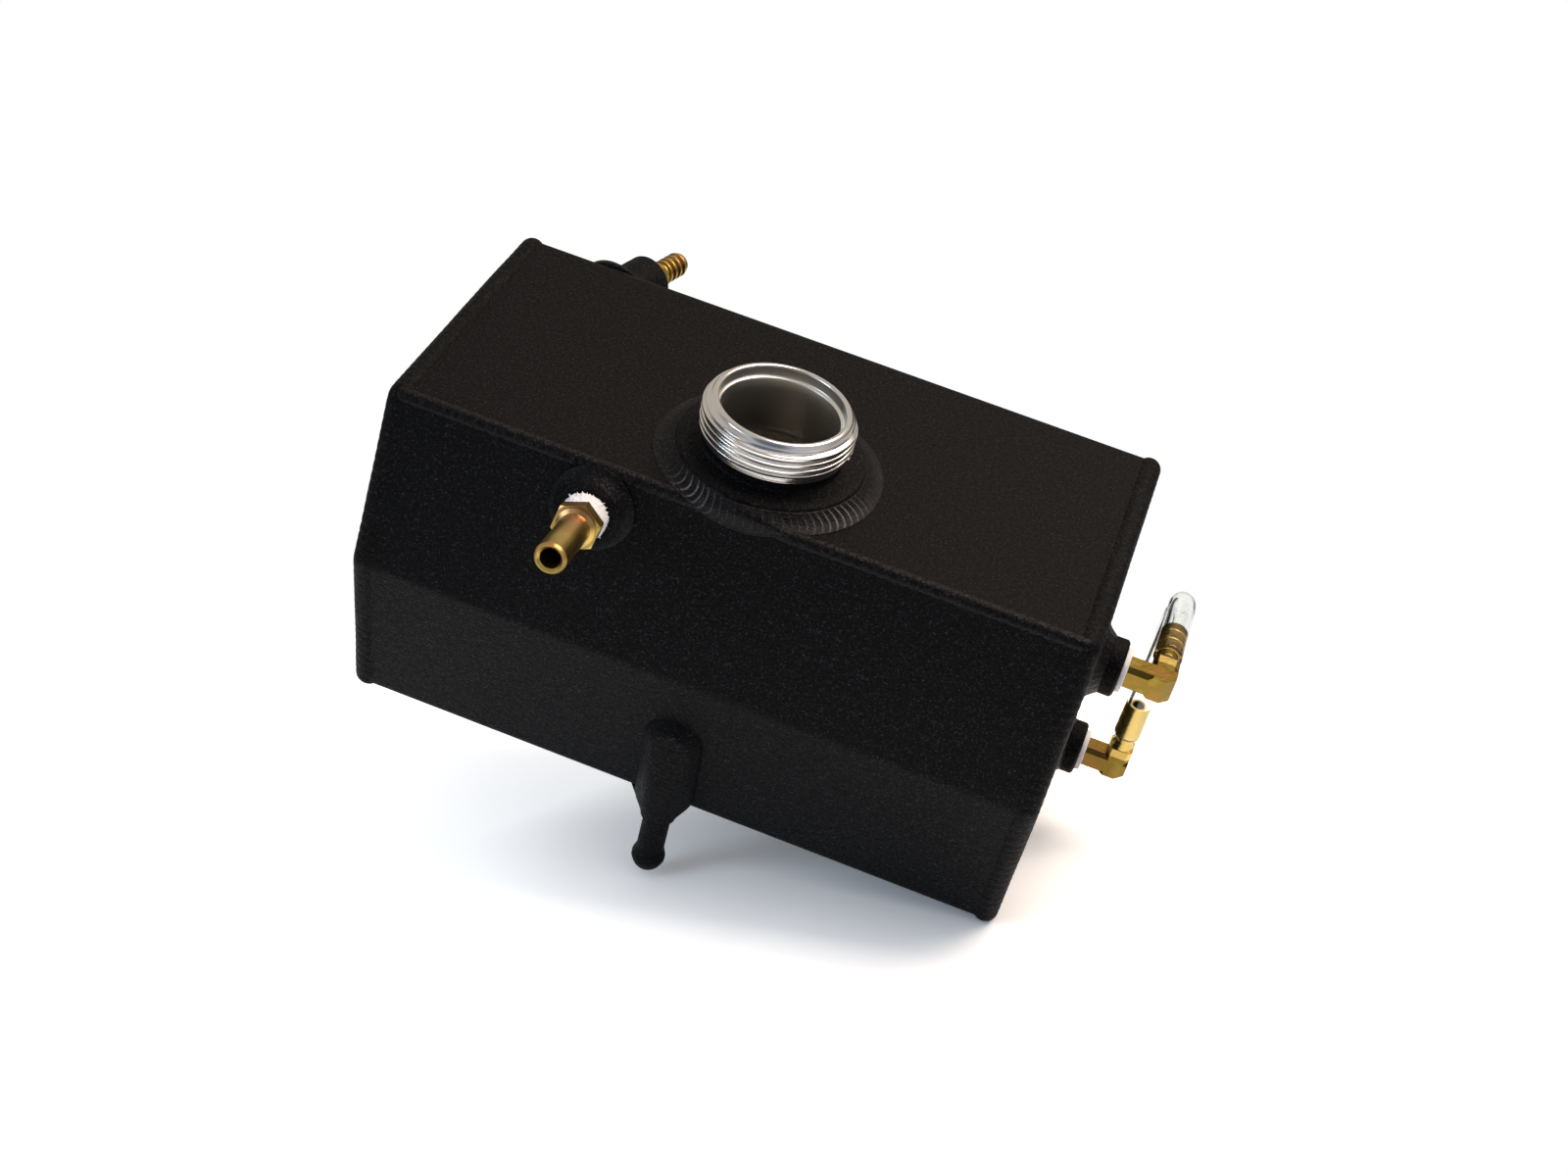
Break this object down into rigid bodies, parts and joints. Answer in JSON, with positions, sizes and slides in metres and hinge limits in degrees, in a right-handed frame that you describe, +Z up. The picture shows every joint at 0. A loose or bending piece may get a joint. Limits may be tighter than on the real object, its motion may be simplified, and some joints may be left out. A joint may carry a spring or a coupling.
{
  "type": "coolant expansion tank",
  "caption": "Folded and welded black coolant expansion tank with a bare screw neck, brass hose tails, an outlet spigot and a clear sight tube on its end.",
  "frame": {"origin": "where the filler neck's axis meets the outer face of the top plate", "axes": "+X along the tank towards the sight tube, +Y from the front seam to the back wall, +Z up along the filler neck's axis"},
  "size_m": [0.2845, 0.2149, 0.1908],
  "materials": {
    "black_coat": "black fine-texture powder coat over aluminium",
    "neck_aluminium": "bare turned aluminium above the collar, black coat on the collar",
    "fitting_brass": "bare turned and forged brass",
    "thread_tape": "white thread seal tape",
    "clear_tube": "clear flexible vinyl"
  },
  "bodies": {
    "root": {"folded_shell": "black_coat", "left_end_plate": "black_coat", "right_end_plate": "black_coat", "seam_weld": "black_coat", "left_end_weld": "black_coat", "right_end_weld": "black_coat", "filler_neck": "neck_aluminium", "neck_weld": "black_coat", "front_bung": "black_coat", "front_bung_weld": "black_coat", "front_thread_tape": "thread_tape", "front_hose_tail": "fitting_brass", "rear_bung": "black_coat", "rear_bung_weld": "black_coat", "rear_thread_tape": "thread_tape", "rear_hose_tail": "fitting_brass", "upper_sight_bung": "black_coat", "upper_sight_weld": "black_coat", "lower_sight_bung": "black_coat", "lower_sight_weld": "black_coat", "upper_elbow_tape": "thread_tape", "upper_elbow": "fitting_brass", "lower_elbow_tape": "thread_tape", "lower_elbow": "fitting_brass", "sight_tube": "clear_tube", "outlet_spigot": "black_coat", "outlet_weld": "black_coat", "left_mount_boss": "black_coat", "left_mount_weld": "black_coat", "right_mount_boss": "black_coat", "right_mount_weld": "black_coat"}
  },
  "joints": []
}
